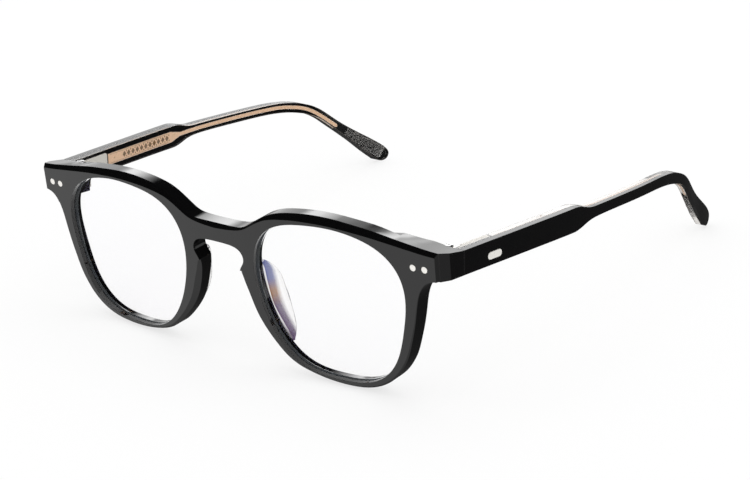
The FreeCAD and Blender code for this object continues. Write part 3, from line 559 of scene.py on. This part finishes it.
def floor_material():
    """Pale floor; in mirror reflections its glow depends on the ray's heading."""
    s = new_material("floor_mat")
    diffuse = s.first("ShaderNodeBsdfDiffuse", Color=s.mix_color(
        s.noise(scale=9.0, detail=3.0), (0.90, 0.90, 0.90), (0.915, 0.915, 0.915)))
    _, incoming_y, incoming_z = s.split(s.node("ShaderNodeNewGeometry").outputs["Incoming"])
    heading = s.multiply(incoming_y, -1.0)      # 1 for a ray that travels straight back
    front_glow = s.ramp(heading, span=(-0.42, 0.08), to=(1.10, 0.42))
    side_loss = s.ramp(heading, span=(0.08, 0.50), to=(0.0, 0.36))
    far_glow = s.multiply(s.ramp(heading, span=(0.55, 0.70)),
                          s.ramp(incoming_z, span=(0.16, 0.05)))
    mirrored = s.first("ShaderNodeEmission",
                       Strength=s.add(s.subtract(front_glow, side_loss), far_glow))
    own_glow = 0.72                             # share of plain white glow in the floor
    pale = s.mix_shader(own_glow, diffuse, s.first("ShaderNodeEmission", Strength=1.0))
    return s.finish(s.mix_shader(s.mirror_ray(), pale, mirrored))


def add_floor():
    """The floor tilts up towards the back, through a front and a tail level."""
    front_y, front_z = 8.0, -35.75      # mm
    tail_y, tail_z = 145.0, -26.25
    drop = 0.03
    bpy.ops.mesh.primitive_plane_add(
        size=8.0, location=(0, front_y * MM, (front_z - drop) * MM),
        rotation=(math.atan2(tail_z - front_z, tail_y - front_y), 0, 0))
    floor = bpy.context.active_object
    floor.name = "floor"
    floor.data.materials.append(floor_material())


def add_world():
    """Even light, but mirror reflections see one bright sheet low behind the object."""
    world = bpy.data.worlds.new("studio")
    scene.world = world
    s = Shader(world, output="ShaderNodeOutputWorld")
    x, y, z = s.split(s.node("ShaderNodeTexCoord").outputs["Generated"])

    def step(value, start, end):
        return s.ramp(value, span=(start, end), smooth=True)

    sine, cosine = math.sin(VIEW_AZIMUTH), math.cos(VIEW_AZIMUTH)
    back = s.add(s.multiply(x, -sine), s.multiply(y, cosine))
    across = s.add(s.multiply(x, cosine), s.multiply(y, sine))
    low_band = s.multiply(step(z, start=-0.12, end=-0.02), step(z, start=0.64, end=0.44))
    # the lower part is brightest to the camera's right; higher up it is even across
    low_part = s.multiply(step(z, start=0.21, end=0.28), step(z, start=0.43, end=0.35))
    base_level, right_gain, high_gain = 1.4, 0.9, 3.6       # sheet brightness
    low_level = s.add(base_level, s.multiply(step(across, start=-0.12, end=0.10), right_gain))
    high_level = s.add(base_level, s.multiply(step(z, start=0.30, end=0.42), high_gain))
    level = s.add(s.multiply(low_part, low_level),
                  s.multiply(s.subtract(1.0, low_part), high_level))
    sheet = s.multiply(s.multiply(step(back, start=0.50, end=0.80), low_band),
                       step(across, start=0.62, end=0.38))
    dark_level, ambient = 0.012, 1.0    # around the sheet, and for all other rays
    reflected = s.add(s.multiply(sheet, level), dark_level)
    mirror = s.mirror_ray()
    strength = s.add(s.multiply(mirror, reflected),
                     s.multiply(s.subtract(1.0, mirror), ambient))
    s.finish(s.first("ShaderNodeBackground", Color=(1, 1, 1), Strength=strength))


def add_top_light():
    """Wide soft light overhead, unseen in reflections."""
    place, target = Vector((0.0, 0.1, 1.3)), Vector((0, 0.05, 0))
    light = bpy.data.lights.new("top_soft", "AREA")
    light.shape = "RECTANGLE"
    light.size = light.size_y = 1.4
    light.energy = 3.0
    lamp = link_object("top_soft", light)
    lamp.location = place
    lamp.rotation_euler = (target - place).to_track_quat("-Z", "Y").to_euler()
    lamp.visible_glossy = False
    lamp.visible_camera = False


add_camera()
add_floor()
add_world()
add_top_light()

scene.view_settings.view_transform = "Standard"
scene.view_settings.look = "None"
scene.render.film_transparent = False
